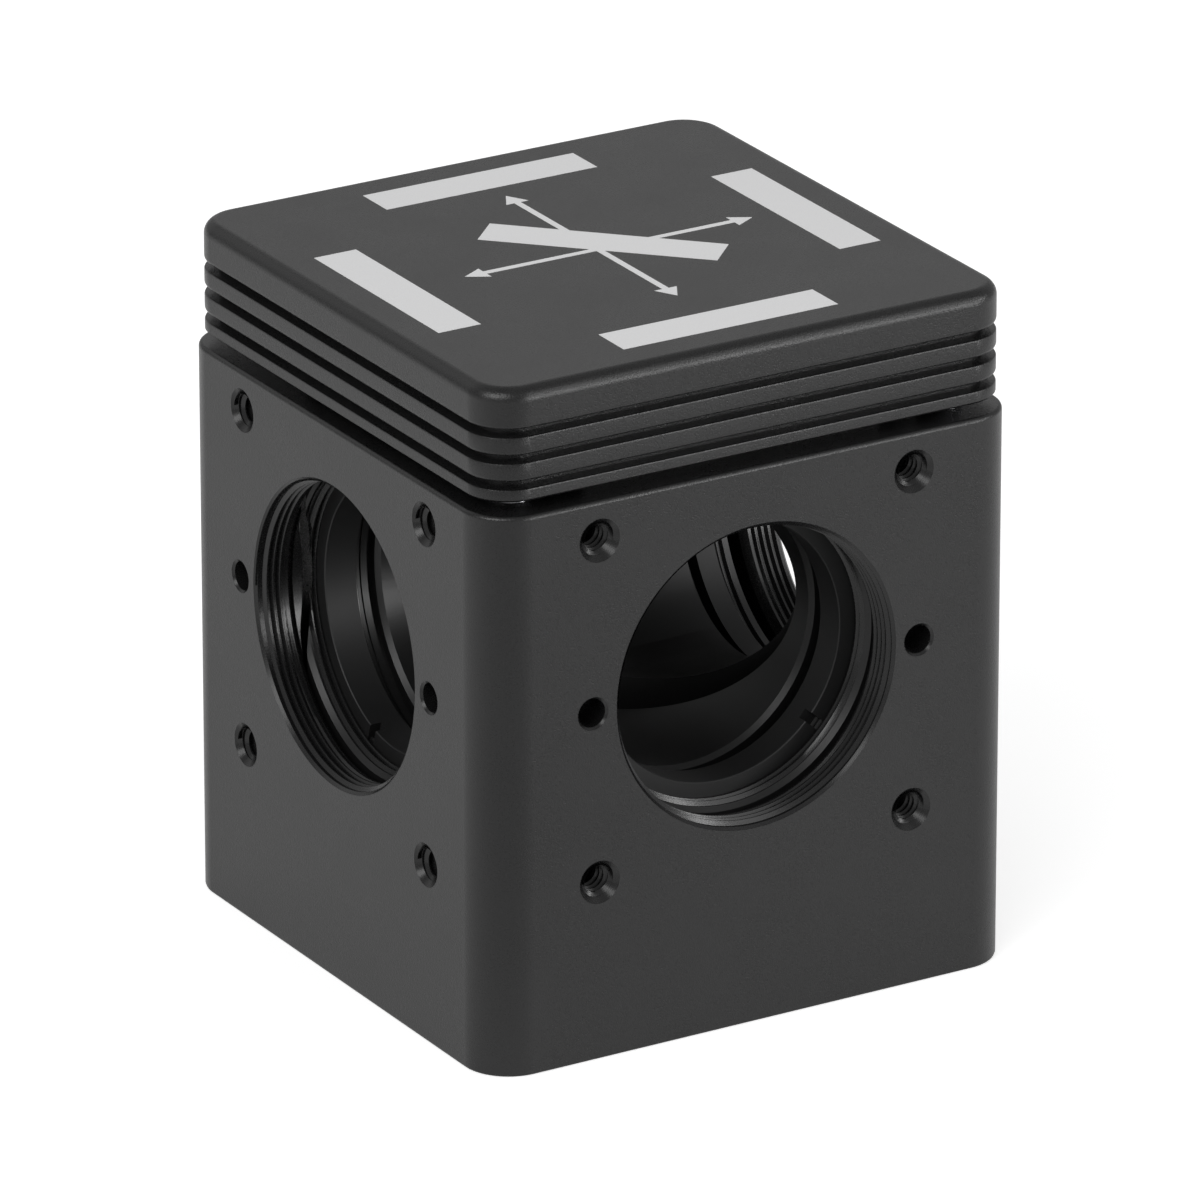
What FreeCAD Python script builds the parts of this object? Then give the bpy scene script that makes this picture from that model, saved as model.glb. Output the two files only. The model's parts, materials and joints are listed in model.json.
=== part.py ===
import FreeCAD, Part
import math
import os

from FreeCAD import Vector

# A cage cube for optics: a square base with four threaded ports, and an insert that lifts out of it.
# The insert is a grooved cover with a filter block below it. Three steel balls in the base's corners
# meet three vee seats in the cover, and magnets under the balls hold the insert down.
# The origin is the centre of the underside, +Z is up, -Y is the front and -X is the left side.

# Driving dimensions, in millimetres.

# Base
base_width = 50.8
base_height = 49.25
base_corner_r = 4.2
rim_edge_r = 0.4
foot_break = 0.3
wall = 3.75
floor_thick = 11.5
pocket_mouth_break = 0.35
pocket_corner_r = 1.5
axis_height = 30.8

# Threaded ports, in the base and in the filter block
port_d = 26.29
port_chamfer = 0.255
port_back_chamfer = 0.6
block_chamfer = 0.4
seat_step = 1.145
seat_chamfer = 0.4
exit_bore_d = 20.0
bore_rise = 0.3
relief_step = 0.255
relief_width = 0.4
pilot_step = 0.145
pilot_length = 0.6

# Tapped holes for cage rods, and plain holes for alignment pins, on each side
cage_pitch = 30.0
cage_tap_d = 2.845
cage_chamfer = 0.4775
pin_pitch = 31.26
pin_hole_d = 2.5
pin_chamfer = 0.2
pin_hole_depth = 3.0

# Tapped hole in the underside, for a post
post_tap_d = 6.35
post_chamfer = 0.425
post_tap_depth = 8.5

# Cover
cover_gap = 1.05
cover_height = 9.7
cover_inset = 0.5
cover_corner_r = 3.8
cover_top_r = 1.15
slab_height = 3.45
groove_width = 0.65
groove_depth = 1.2
fin_pitch = 2.25
groove_count = 3
fin_lower_r = 0.4
fin_upper_break = 0.15
cover_foot_break = 0.2

# Filter block
block_clearance = 0.3
exit_side_gap = 1.55
block_edge_r = 0.5
block_floor_gap = 1.3
post_reach = 4.72
post_gap = 0.7
key_post_reach = 6.52
key_post_gap = 0.75
filter_thread_depth = 10.05
exit_thread_length = 4.2
exit_relief_width = 1.8

# Slot for a plate at 45 degrees
slot_width = 2.5
slot_length = 37.0
slot_above_axis = 13.2

# Retaining rings
ring_width = 1.6
filter_ring_thick = 3.0
exit_ring_thick = 2.0
ring_thread_gap = 0.045
ring_edge_break = 0.08
ring_slot_width = 0.9
ring_slot_depth = 1.0
filter_ring_depth = 5.75
ring_slot_turn = {"front": -42.0, "right": 20.0, "back": -65.0, "left": -108.0}

# Balls, magnets and vee seats
ball_d = 4.0
ball_inset = 3.0
ball_play = 0.05
magnet_length = 6.0
magnet_break = 0.2
seat_d = 5.0
seat_height = 3.0
vee_depth = 1.5
press_gap = 0.01

# Screws that hold the block to the cover, and setscrews at the end of the slot
screw_d = 2.0
screw_head_d = 3.8
screw_head_height = 2.0
screw_length = 9.0
screw_hole_gap = 0.1
screw_bore_gap = 0.15
screw_socket_width = 1.5
screw_socket_depth = 1.0
screw_end_gap = 0.6
screw_land = 5.9
setscrew_d = 2.5
setscrew_length = 4.0
setscrew_spacing = 20.0
setscrew_sink = 0.4
setscrew_socket_width = 1.3
setscrew_socket_depth = 1.5

# Sizes that follow from the driving ones
half = base_width / 2
pocket_half = half - wall
clear_bore_d = port_d - 2 * seat_step
relief_d = port_d + 2 * relief_step
block_axis = axis_height + bore_rise
block_front = pocket_half - block_clearance
block_back = pocket_half - exit_side_gap
block_bottom = floor_thick + block_floor_gap
cover_half = half - cover_inset
cover_bottom = base_height + cover_gap
cover_top = cover_bottom + cover_height
slot_top = axis_height + slot_above_axis
ball_r = ball_d / 2
vee_apex = cover_bottom + vee_depth
ball_z = vee_apex - (ball_r + ball_play) * math.sqrt(2)
magnet_top = ball_z - ball_r - press_gap
pocket_corner = pocket_half * math.sqrt(2)
pocket_flat = pocket_corner - post_reach
key_pocket_flat = pocket_corner - key_post_reach
block_flat = pocket_flat - post_gap
key_flat = key_pocket_flat - key_post_gap
ball_from_centre = pocket_flat + ball_inset
screw_head_top = cover_bottom - screw_land
bore_edge = relief_d / 2
screw_reach = block_flat * math.sqrt(2) - 2 * bore_edge
screw_centre = bore_edge + screw_reach * (1 - 1 / math.sqrt(2))

up = Vector(0, 0, 1)
fine = 1e-3
sides = {"front": 0, "right": 90, "back": 180, "left": 270}
ball_corners = {"front_left": (-1, -1), "front_right": (1, -1), "back_right": (1, 1)}


def turned(shape, degrees):
    """A copy turned about the Z axis, from the front side to another."""
    copy = shape.copy()
    copy.rotate(Vector(0, 0, 0), up, degrees)
    return copy


def round_hole(x, z, diameter, start, end):
    """A cylinder along Y, from one distance behind the centre to another."""
    return Part.makeCylinder(diameter / 2, end - start, Vector(x, start, z), Vector(0, 1, 0))


def countersink(x, z, diameter, chamfer, face):
    """A 90 degree cone that opens towards the front, from a face at some distance before the centre."""
    narrow = diameter / 2
    return Part.makeCone(narrow + chamfer, narrow, chamfer, Vector(x, -face, z), Vector(0, 1, 0))


def rounded_outline(points, radius):
    """A closed flat face from corner points, with each corner rounded."""
    edges = []
    starts = []
    ends = []
    middles = []
    count = len(points)
    for i, corner in enumerate(points):
        before = (points[i - 1] - corner).normalize()
        after = (points[(i + 1) % count] - corner).normalize()
        half_angle = before.getAngle(after) / 2
        reach = radius / math.tan(half_angle)
        centre = corner + (before + after).normalize() * (radius / math.sin(half_angle))
        starts.append(corner + before * reach)
        ends.append(corner + after * reach)
        middles.append(centre + (corner - centre).normalize() * radius)
    for i in range(count):
        edges.append(Part.Arc(starts[i], middles[i], ends[i]).toShape())
        following = starts[(i + 1) % count]
        if ends[i].distanceToPoint(following) > 1e-6:
            edges.append(Part.LineSegment(ends[i], following).toShape())
    return Part.Face(Part.Wire(edges))


def prism(points, radius, bottom, top):
    """A rounded outline raised from one height to another."""
    face = rounded_outline([Vector(x, y, bottom) for x, y in points], radius)
    return face.extrude(Vector(0, 0, top - bottom))


def square_prism(half_width, radius, bottom, top):
    corners = [(-1, -1), (1, -1), (1, 1), (-1, 1)]
    return prism([(x * half_width, y * half_width) for x, y in corners], radius, bottom, top)


def flatted_outline(front, back, flat, key):
    """Corner points of a square whose corners are cut at 45 degrees, deeper at the back left one."""
    points = []
    for sign_x, sign_y in [(-1, -1), (1, -1), (1, 1), (-1, 1)]:
        side_x = back if sign_x > 0 else front
        side_y = back if sign_y > 0 else front
        cut = (key if (sign_x, sign_y) == (-1, 1) else flat) * math.sqrt(2)
        on_x = (sign_x * side_x, sign_y * (cut - side_x))
        on_y = (sign_x * (cut - side_y), sign_y * side_y)
        points += [on_x, on_y] if sign_x * sign_y > 0 else [on_y, on_x]
    return points


def level_edges(shape, height, least, most):
    """Edges at one height, whose farthest point from the middle in X or Y lies between two reaches."""
    found = []
    for edge in shape.Edges:
        box = edge.BoundBox
        level = abs(box.ZMin - height) < fine and abs(box.ZMax - height) < fine
        farthest = max(abs(box.XMin), abs(box.XMax), abs(box.YMin), abs(box.YMax))
        if level and least - fine < farthest < most + fine:
            found.append(edge)
    return found


def side_holes():
    """The port and small holes of the front side, as one tool that also clears the corner posts."""
    tool = round_hole(0, axis_height, port_d, -half - 1, -pocket_half)
    tool = tool.fuse(round_hole(0, axis_height, relief_d, -pocket_half, -pocket_half + wall))
    tool = tool.fuse(countersink(0, axis_height, port_d, port_chamfer, half))
    flare_start = Vector(0, -pocket_half - port_back_chamfer, axis_height)
    flare_r = port_d / 2 + port_back_chamfer
    tool = tool.fuse(Part.makeCone(port_d / 2, flare_r, port_back_chamfer, flare_start, Vector(0, 1, 0)))
    for x in (-cage_pitch / 2, cage_pitch / 2):
        for z in (axis_height - cage_pitch / 2, axis_height + cage_pitch / 2):
            tool = tool.fuse(round_hole(x, z, cage_tap_d, -half - 1, -pocket_half + block_clearance))
            tool = tool.fuse(countersink(x, z, cage_tap_d, cage_chamfer, half))
    for x in (-pin_pitch / 2, pin_pitch / 2):
        tool = tool.fuse(round_hole(x, axis_height, pin_hole_d, -half - 1, -half + pin_hole_depth))
        tool = tool.fuse(countersink(x, axis_height, pin_hole_d, pin_chamfer, half))
    return tool


def corner_point(signs, height):
    """The place of a ball, on the diagonal of one corner."""
    offset = ball_from_centre / math.sqrt(2)
    return Vector(signs[0] * offset, signs[1] * offset, height)


def base_housing():
    body = square_prism(half, base_corner_r, 0, base_height)
    body = body.makeFillet(rim_edge_r, level_edges(body, base_height, half, half))
    body = body.makeChamfer(foot_break, level_edges(body, 0, half, half))
    outline = flatted_outline(pocket_half, pocket_half, pocket_flat, key_pocket_flat)
    pocket = prism(outline, pocket_corner_r, floor_thick, base_height + 1)
    body = body.cut(pocket)
    body = body.makeChamfer(pocket_mouth_break, level_edges(body, base_height, 0, pocket_half))
    tool = side_holes()
    for angle in sides.values():
        body = body.cut(turned(tool, angle))
    for signs in ball_corners.values():
        foot = corner_point(signs, magnet_top - magnet_length)
        body = body.cut(Part.makeCylinder(ball_r + press_gap, base_height, foot))
    post = Part.makeCylinder(post_tap_d / 2, post_tap_depth)
    post = post.fuse(Part.makeCone(post_tap_d / 2 + post_chamfer, post_tap_d / 2, post_chamfer))
    return body.cut(post).removeSplitter()


def steel_ball(signs):
    return Part.makeSphere(ball_r, corner_point(signs, ball_z))


def base_magnet(signs):
    foot = corner_point(signs, magnet_top - magnet_length)
    magnet = Part.makeCylinder(ball_r, magnet_length, foot)
    return magnet.makeChamfer(magnet_break, magnet.Edges[0:1])


def vee_seat(signs):
    """A steel disc in the cover's underside, with a vee that points at the cube's centre."""
    seat = Part.makeCylinder(seat_d / 2, seat_height, corner_point(signs, cover_bottom))
    radial = Vector(signs[0], signs[1], 0).normalize()
    across = Vector(-radial.y, radial.x, 0)
    start = corner_point(signs, cover_bottom - 1) - radial * seat_d
    spread = vee_depth + 1
    corners = [start - across * spread, start + across * spread, start + up * spread]
    vee = Part.Face(Part.makePolygon(corners + corners[:1])).extrude(radial * seat_d * 2)
    return seat.cut(vee)


def insert_cover():
    """The cover plate, with grooves all round that leave three fins below its slab."""
    cover = square_prism(cover_half, cover_corner_r, cover_bottom, cover_top)
    inner_half = cover_half - groove_depth
    lower = []
    upper = []
    for i in range(groove_count):
        top = cover_top - slab_height - i * fin_pitch
        bottom = top - groove_width
        rim = square_prism(half + 1, cover_corner_r, bottom, top)
        core = square_prism(inner_half, cover_corner_r - groove_depth, bottom, top)
        cover = cover.cut(rim.cut(core))
        lower.append(top)
        upper.append(bottom)
    cover = cover.makeFillet(cover_top_r, level_edges(cover, cover_top, cover_half, cover_half))
    for height in lower:
        cover = cover.makeFillet(fin_lower_r, level_edges(cover, height, cover_half, cover_half))
    for height in upper:
        cover = cover.makeChamfer(fin_upper_break, level_edges(cover, height, cover_half, cover_half))
    cover = cover.makeChamfer(cover_foot_break, level_edges(cover, cover_bottom, cover_half, cover_half))
    for signs in ball_corners.values():
        seat_foot = corner_point(signs, cover_bottom)
        cover = cover.cut(Part.makeCylinder(seat_d / 2 + press_gap, seat_height, seat_foot))
        x, y = signs[0] * screw_centre, signs[1] * screw_centre
        depth = screw_length - screw_land + screw_end_gap
        cover = cover.cut(Part.makeCylinder(screw_d / 2 + press_gap, depth, Vector(x, y, cover_bottom)))
    return cover


def filter_bore():
    """The stepped bore of the front side: thread, pilot, relief groove and chamfered shoulder."""
    thread_end = -half + filter_thread_depth
    pilot_end = thread_end + pilot_length
    shoulder = pilot_end + relief_width
    tool = round_hole(0, block_axis, port_d, -half, thread_end)
    tool = tool.fuse(round_hole(0, block_axis, port_d - 2 * pilot_step, thread_end, pilot_end))
    tool = tool.fuse(round_hole(0, block_axis, relief_d, pilot_end, shoulder))
    tool = tool.fuse(countersink(0, block_axis, clear_bore_d, seat_chamfer, -shoulder))
    return tool.fuse(countersink(0, block_axis, port_d, block_chamfer, block_front))


def exit_bore():
    """The bore of a back side, drawn on the front: thread, relief groove and shoulder."""
    thread_end = -block_back + exit_thread_length
    tool = round_hole(0, block_axis, port_d, -half, thread_end)
    return tool.fuse(round_hole(0, block_axis, relief_d, thread_end, thread_end + exit_relief_width))


def clear_bores():
    """The narrow bores that run right through, and the wide ones from the filter sides into the slot."""
    narrow = round_hole(0, block_axis, exit_bore_d, -2 * half, 2 * half)
    wide = round_hole(0, block_axis, clear_bore_d, -half, half)
    wide = wide.fuse(turned(wide, sides["left"]))
    corner = Vector(-2 * half, -2 * half, 0)
    near_side = Part.makeBox(4 * half, 2 * half + slot_width / 2, cover_top, corner)
    wide = wide.common(turned(near_side, -45))
    return narrow.fuse([turned(narrow, sides["left"]), wide])


def plate_slot():
    """The upright slot at 45 degrees, whose front face holds the cube's axis."""
    reach = slot_length / 2
    corners = [(-reach, 0), (reach, 0), (reach, slot_width), (-reach, slot_width)]
    slot = prism(corners, slot_width / 2 - press_gap, block_bottom - 1, slot_top)
    return turned(slot, -45)


def setscrew_axis(level):
    """The start of a setscrew on the key flat, and its direction towards the slot."""
    inward = Vector(1, -1, 0).normalize()
    across = Vector(1, 1, 0).normalize()
    start = inward * -key_flat + across * (slot_width / 2)
    return Vector(start.x, start.y, axis_height + level), inward


def filter_block():
    outline = flatted_outline(block_front, block_back, block_flat, key_flat)
    block = prism(outline, block_edge_r, block_bottom, cover_bottom)
    block = block.cut(clear_bores())
    for name in ("front", "left"):
        block = block.cut(turned(filter_bore(), sides[name]))
    for name in ("right", "back"):
        block = block.cut(turned(exit_bore(), sides[name]))
    block = block.cut(plate_slot())
    for signs in ball_corners.values():
        x, y = signs[0] * screw_centre, signs[1] * screw_centre
        bore_depth = screw_head_top - block_bottom
        counterbore_r = screw_head_d / 2 + screw_bore_gap
        block = block.cut(Part.makeCylinder(counterbore_r, bore_depth, Vector(x, y, block_bottom)))
        through_r = screw_d / 2 + screw_hole_gap
        block = block.cut(Part.makeCylinder(through_r, screw_land, Vector(x, y, screw_head_top)))
    for level in (-setscrew_spacing / 2, setscrew_spacing / 2):
        start, inward = setscrew_axis(level)
        depth = key_flat - slot_length / 2 + slot_width / 2
        block = block.cut(Part.makeCylinder(setscrew_d / 2 + press_gap, depth, start, inward))
    return block


def retaining_ring(name):
    """A threaded ring with two spanner slots in its outer face."""
    is_filter = name in ("front", "left")
    thick = filter_ring_thick if is_filter else exit_ring_thick
    face = half - filter_ring_depth if is_filter else block_back - exit_thread_length + thick
    outer_d = port_d - 2 * ring_thread_gap
    ring = round_hole(0, block_axis, outer_d, -face, -face + thick)
    inner_d = outer_d - 2 * ring_width
    ring = ring.cut(round_hole(0, block_axis, inner_d, -face - 1, -face + thick + 1))
    ring = ring.makeChamfer(ring_edge_break, [e for e in ring.Edges if abs(e.BoundBox.YMax + face) < fine])
    slot = Part.makeBox(outer_d, ring_slot_depth, ring_slot_width,
                        Vector(-outer_d / 2, -face, block_axis - ring_slot_width / 2))
    slot.rotate(Vector(0, 0, block_axis), Vector(0, -1, 0), ring_slot_turn[name])
    return turned(ring.cut(slot), sides[name])


def hexagon(width, height, at, direction):
    """A hexagonal socket's space, along a direction."""
    points = []
    for i in range(7):
        angle = math.radians(60 * i)
        points.append(Vector(math.cos(angle), math.sin(angle), 0) * (width / math.sqrt(3)))
    socket = Part.Face(Part.makePolygon(points)).extrude(Vector(0, 0, height))
    socket.Placement = FreeCAD.Placement(at, FreeCAD.Rotation(up, direction))
    return socket


def cover_screw(signs):
    """A socket-head screw, put in from below."""
    x, y = signs[0] * screw_centre, signs[1] * screw_centre
    foot = Vector(x, y, screw_head_top - screw_head_height)
    head = Part.makeCylinder(screw_head_d / 2, screw_head_height, foot)
    shank = Part.makeCylinder(screw_d / 2, screw_length, Vector(x, y, screw_head_top))
    screw = head.fuse(shank)
    return screw.cut(hexagon(screw_socket_width, screw_socket_depth, foot, up))


def setscrew(level):
    start, inward = setscrew_axis(level)
    start = start + inward * setscrew_sink
    body = Part.makeCylinder(setscrew_d / 2, setscrew_length, start, inward)
    return body.cut(hexagon(setscrew_socket_width, setscrew_socket_depth, start, inward))


def all_nodes():
    nodes = {"base_housing": base_housing()}
    for name, signs in ball_corners.items():
        nodes["ball_" + name] = steel_ball(signs)
        nodes["magnet_" + name] = base_magnet(signs)
    nodes["insert_cover"] = insert_cover()
    nodes["filter_block"] = filter_block()
    for name in sides:
        nodes["retaining_ring_" + name] = retaining_ring(name)
    for name, signs in ball_corners.items():
        nodes["vee_seat_" + name] = vee_seat(signs)
    nodes["cover_screws"] = Part.makeCompound([cover_screw(s) for s in ball_corners.values()])
    levels = (-setscrew_spacing / 2, setscrew_spacing / 2)
    nodes["slot_setscrews"] = Part.makeCompound([setscrew(level) for level in levels])
    return nodes


os.makedirs("parts", exist_ok=True)
for node_name, shape in all_nodes().items():
    volume = round(shape.Volume, 2)
    print(node_name, "solids", len(shape.Solids), "volume", volume, "valid", shape.isValid())
    shape.exportStep("parts/" + node_name + ".step")
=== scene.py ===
import json
import math

import bmesh
import bpy
from mathutils import Matrix, Vector


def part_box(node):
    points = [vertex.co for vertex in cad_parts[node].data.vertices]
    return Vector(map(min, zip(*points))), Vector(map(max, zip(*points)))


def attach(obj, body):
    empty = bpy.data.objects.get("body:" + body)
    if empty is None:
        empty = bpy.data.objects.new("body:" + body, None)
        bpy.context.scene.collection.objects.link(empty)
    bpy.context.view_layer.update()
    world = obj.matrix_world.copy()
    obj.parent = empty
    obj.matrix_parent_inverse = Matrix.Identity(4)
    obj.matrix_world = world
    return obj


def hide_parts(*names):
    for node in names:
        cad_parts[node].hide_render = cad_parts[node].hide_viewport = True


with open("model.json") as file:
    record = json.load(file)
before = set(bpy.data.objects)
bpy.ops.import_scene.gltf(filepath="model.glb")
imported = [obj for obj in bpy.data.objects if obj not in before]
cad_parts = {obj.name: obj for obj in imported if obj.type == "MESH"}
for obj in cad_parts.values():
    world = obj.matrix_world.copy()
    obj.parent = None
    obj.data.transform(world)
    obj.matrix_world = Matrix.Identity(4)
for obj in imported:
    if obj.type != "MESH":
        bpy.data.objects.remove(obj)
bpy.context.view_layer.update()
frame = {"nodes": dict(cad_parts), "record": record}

bl_info = {
    "name": "Optical cage cube",
    "version": (1, 0, 0),
    "blender": (4, 5, 0),
    "location": "View3D > Sidebar > Cage cube",
    "description": "Dresses the cage cube's solids with modelled housings, threads, marking and finishes",
    "category": "Object",
}

MM = 0.001
MOUNTS = {mount["name"]: mount for mount in frame["record"]["mounts"]}
BASE_LOW, BASE_HIGH = (Vector(corner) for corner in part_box("base_housing"))
COVER_LOW, COVER_HIGH = (Vector(corner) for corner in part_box("insert_cover"))
BLOCK_LOW, BLOCK_HIGH = (Vector(corner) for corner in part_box("filter_block"))
HALF = BASE_HIGH.x
PORT_R = MOUNTS["port_front"]["dims"]["r_mm"] * MM
AXIS = Vector((0, 0, MOUNTS["port_front"]["pos_m"][2]))
BORE_AXIS = sum((Vector(corner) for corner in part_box("retaining_ring_front")), Vector()) * 0.5
BORE_AXIS.y = 0
CAGE_REACH = MOUNTS["cage_holes_front"]["dims"]["spacing_x_mm"] * MM / 2
CAGE_R = MOUNTS["cage_holes_front"]["dims"]["hole_r_mm"] * MM
PIN_REACH = MOUNTS["pin_holes_front"]["dims"]["spacing_x_mm"] * MM / 2
PIN_R = MOUNTS["pin_holes_front"]["dims"]["hole_r_mm"] * MM
POST_R = MOUNTS["post_hole"]["dims"]["r_mm"] * MM
SIDES = {"front": 0, "right": 90, "back": 180, "left": 270}
FRONT = Vector((0, -1, 0))
UP = Vector((0, 0, 1))
CORNERS = {"front_left": (-1, -1), "front_right": (1, -1), "back_right": (1, 1)}
KEY_CORNER = (-1, 1)


def length(name, millimetres, about):
    """A length property whose default is given in millimetres."""
    return bpy.props.FloatProperty(name=name, description=about, default=millimetres * MM, min=0.0,
                                   unit="LENGTH", subtype="DISTANCE", precision=5)


def amount(name, default, about, high=1.0):
    return bpy.props.FloatProperty(name=name, description=about, default=default, min=0.0, max=high)


def colour(name, default, about):
    return bpy.props.FloatVectorProperty(name=name, description=about, default=default, size=3,
                                         min=0.0, max=1.0, subtype="COLOR")


class CageHousingSizes(bpy.types.PropertyGroup):
    """Sizes of the base housing."""

    corner_r: length("Corner radius", 4.2, "Radius of the upright corners")
    rim_r: length("Rim rounding", 0.4, "Radius of the top outer edge")
    foot_break: length("Foot break", 0.3, "Chamfer of the bottom edge")
    wall: length("Wall", 3.75, "Thickness of the four walls")
    floor: length("Floor", 11.5, "Thickness of the floor")
    post_reach: length("Post reach", 4.72, "How far a corner post cuts off the pocket's corner")
    key_reach: length("Key post reach", 6.52, "The same at the corner that sets which way the insert fits")
    pocket_r: length("Pocket corner radius", 1.5, "Radius of the pocket's upright edges")
    mouth_break: length("Pocket mouth break", 0.35, "Chamfer of the pocket's mouth")
    port_chamfer: length("Port chamfer", 0.255, "Chamfer of each port")
    port_back_chamfer: length("Port back chamfer", 0.6, "Flare at the inner end of each port")
    cage_chamfer: length("Cage hole chamfer", 0.4775, "Countersink of each tapped hole")
    pin_chamfer: length("Pin hole chamfer", 0.2, "Chamfer of each pin hole")
    pin_depth: length("Pin hole depth", 3.0, "Depth of each pin hole")
    post_chamfer: length("Post hole chamfer", 0.425, "Countersink of the hole in the underside")
    post_depth: length("Post hole depth", 8.5, "Depth of the hole in the underside")
    ball_gap: length("Ball seat gap", 0.01, "Clearance of the balls in their bores")


class CageCoverSizes(bpy.types.PropertyGroup):
    """Sizes of the grooved cover."""

    corner_r: length("Corner radius", 3.8, "Radius of the upright corners")
    top_r: length("Top rounding", 1.15, "Radius of the top edge")
    slab: length("Slab", 3.45, "Height from the top face to the first groove")
    groove: length("Groove width", 0.65, "Height of each groove")
    groove_depth: length("Groove depth", 1.2, "Depth of each groove")
    pitch: length("Fin pitch", 2.25, "Distance from one groove to the next")
    count: bpy.props.IntProperty(name="Grooves", description="Number of grooves", default=3, min=1, max=5)
    fin_lower_r: length("Fin lower rounding", 0.4, "Radius of the edge above each groove")
    fin_upper_break: length("Fin upper break", 0.15, "Edge break below each groove")
    foot_break: length("Foot break", 0.2, "Edge break of the underside")
    screw_depth: length("Screw hole depth", 3.7, "Depth of the tapped holes in the underside")


class CageBlockSizes(bpy.types.PropertyGroup):
    """Sizes of the filter block and its rings."""

    post_gap: length("Corner gap", 0.7, "Gap between the block's cut corners and the base's posts")
    key_gap: length("Key corner gap", 0.75, "The same at the key corner")
    edge_r: length("Edge radius", 0.5, "Radius of the upright edges")
    mouth: length("Bore mouth", 0.4, "Chamfer of the filter bores")
    thread_depth: length("Thread depth", 10.05, "Depth of the filter thread below the base's face")
    pilot_step: length("Pilot step", 0.145, "Step from the thread to the smooth pilot")
    pilot: length("Pilot", 0.6, "Length of the smooth pilot")
    relief_step: length("Relief step", 0.255, "Depth of the relief grooves")
    relief: length("Relief", 0.4, "Width of the filter bore's relief groove")
    seat_step: length("Seat step", 1.145, "Width of the shoulder that a filter rests on")
    seat_chamfer: length("Seat chamfer", 0.4, "Chamfer of the bore behind that shoulder")
    exit_r: length("Exit bore radius", 10.0, "Radius of the bores behind the slot")
    exit_thread: length("Exit thread", 4.2, "Length of the thread in the exit bores")
    exit_relief: length("Exit relief", 1.8, "Width of the exit bore's relief groove")
    slot_width: length("Slot width", 2.5, "Width of the 45 degree slot")
    slot_length: length("Slot length", 37.0, "Length of the 45 degree slot")
    slot_top: length("Slot top", 13.2, "Height of the slot above the port axis")
    land: length("Screw land", 5.9, "Thickness left above the screw heads")
    bore_r: length("Counterbore radius", 2.05, "Radius of the screws' counterbores")
    through_r: length("Screw hole radius", 1.1, "Radius of the screws' holes")
    set_r: length("Setscrew hole radius", 1.26, "Radius of the setscrews' holes")
    set_reach: length("Setscrew reach", 10.0, "Height of a setscrew above or below the axis")
    ring_break: length("Ring edge break", 0.08, "Chamfer of the rings' outer face")
    ring_slot: length("Ring slot", 0.9, "Width of the spanner slots")
    ring_slot_depth: length("Ring slot depth", 1.0, "Depth of the spanner slots")
    ring_width: length("Ring width", 1.6, "Width of a ring, from its bore to its thread")


class CageThreadSizes(bpy.types.PropertyGroup):
    """Sizes of the threads, which all have forty turns to the inch."""

    pitch: length("Pitch", 0.635, "Distance from one turn to the next")
    depth: length("Thread depth", 0.344, "Height of the thread's ridge")
    crest: length("Crest", 0.11, "Width of the ridge's crest")
    root: length("Root", 0.56, "Width of the ridge at its root")
    post_pitch: length("Post hole pitch", 1.27, "Distance between turns in the underside's hole")


class CageMarkingSizes(bpy.types.PropertyGroup):
    """Sizes of the light-path diagram on the cover."""

    bar_length: length("Bar length", 20.4, "Length of each bar")
    bar_width: length("Bar width", 3.98, "Width of each bar")
    bar_reach: length("Bar distance", 19.15, "Distance of the outer bars from the middle")
    plate_offset: length("Plate offset", 1.8, "Offset of the 45 degree bar from the middle")
    line: length("Line width", 0.62, "Width of the arrows' shafts")
    head_length: length("Arrow head", 1.9, "Length of each arrow head")
    head_width: length("Arrow head width", 2.15, "Width of each arrow head")
    near_tip: length("Near tip", 12.7, "Distance of the two near tips from the middle")
    far_tip: length("Far tip", 14.95, "Distance of the two far tips from the middle")
    thickness: length("Thickness", 0.012, "Thickness of the marking")


class CageFinish(bpy.types.PropertyGroup):
    """Colours and textures of the finishes."""

    anodised: colour("Anodising", (0.009, 0.009, 0.0092), "Colour of the outer black anodising")
    bored: colour("Bored walls", (0.008, 0.008, 0.0082), "Colour of the anodising inside the bores")
    marking: colour("Marking", (0.88, 0.88, 0.885), "Colour of the light-path diagram")
    steel: colour("Steel", (0.50, 0.50, 0.52), "Colour of the hardened steel")
    nickel: colour("Nickel", (0.62, 0.60, 0.56), "Colour of the magnets' plating")
    oxide: colour("Black oxide", (0.03, 0.03, 0.034), "Colour of the screws")
    matte: amount("Matte roughness", 0.30, "Roughness of the outer faces")
    satin: amount("Satin roughness", 0.26, "Roughness of the threads and bored walls of the base")
    dull: amount("Dull roughness", 0.38, "Roughness of the filter block's bores and the rings")
    grain: length("Grain", 0.12, "Size of the anodising's grain")
    contrast: amount("Grain contrast", 0.30, "How far the grain lightens or darkens a face")


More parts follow.
